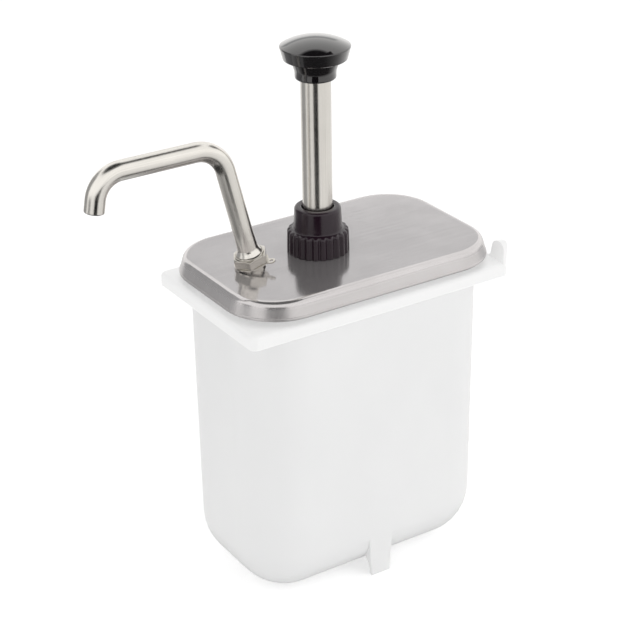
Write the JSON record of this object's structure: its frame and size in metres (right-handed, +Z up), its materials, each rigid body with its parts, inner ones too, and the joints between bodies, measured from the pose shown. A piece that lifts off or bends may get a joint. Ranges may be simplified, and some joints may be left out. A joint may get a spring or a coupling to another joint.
{
  "type": "condiment pump dispenser",
  "caption": "Countertop condiment pump: white jar with flanged rim, steel lid, lift-out plunger pump with black knob and collar, and a bent steel spout.",
  "frame": {"origin": "centre of the flat face that the jar stands on", "axes": "+Z up; +X along the jar's long side, away from the spout; the spout points along -X"},
  "size_m": [0.2692, 0.1216, 0.363],
  "materials": {
    "jar_plastic": "translucent white, satin moulded",
    "lid_steel": "satin pressed stainless",
    "tube_steel": "fine satin drawn tube",
    "fitting_steel": "machined stainless",
    "spring_steel": "drawn wire",
    "ball_steel": "ground ball",
    "knob_black": "glossy moulded",
    "collar_black": "semi-gloss moulded",
    "insert_brass": "machined",
    "acetal_white": "machined acetal",
    "seal_rubber": "smooth moulded"
  },
  "bodies": {
    "jar": {"jar": "jar_plastic"},
    "pump_head": {"lid": "lid_steel", "locking_collar": "collar_black", "guide_bush": "acetal_white", "wiper_seal": "seal_rubber", "lid_gasket": "seal_rubber", "pump_cylinder": "acetal_white", "valve_body": "acetal_white", "valve_seal": "seal_rubber", "inlet_seat": "acetal_white", "inlet_pin": "fitting_steel", "outlet_pin": "fitting_steel", "intake_tube": "acetal_white", "intake_screen": "acetal_white", "spout_tube": "tube_steel", "riser_seal": "seal_rubber", "riser_gland": "acetal_white", "spout_nut": "fitting_steel", "lug_washer": "fitting_steel", "wedge_washer": "fitting_steel", "return_spring": "spring_steel"},
    "plunger": {"knob": "knob_black", "knob_insert": "insert_brass", "plunger_tube": "tube_steel", "bumper_ring": "seal_rubber", "piston": "acetal_white", "piston_seals": "seal_rubber", "piston_screw": "fitting_steel", "spring_washer": "fitting_steel"},
    "inlet_ball": {"inlet_ball": "ball_steel"},
    "outlet_ball": {"outlet_ball": "ball_steel"}
  },
  "joints": [
    {"name": "pump_lift", "type": "slide", "parent": "jar", "child": "pump_head", "axis": [0, 0, 1], "range_m": [0, 0.225]},
    {"name": "plunger_press", "type": "slide", "parent": "pump_head", "child": "plunger", "axis": [0, 0, -1], "range_m": [0, 0.07], "stiffness_N_per_m": 200, "springref_m": -0.06, "deforming": ["return_spring"]},
    {"name": "inlet_ball_lift", "type": "slide", "parent": "pump_head", "child": "inlet_ball", "axis": [0, 0, 1], "range_m": [0, 0.003]},
    {"name": "outlet_ball_lift", "type": "slide", "parent": "pump_head", "child": "outlet_ball", "axis": [-0.2419, 0, 0.9703], "range_m": [0, 0.0025]}
  ]
}
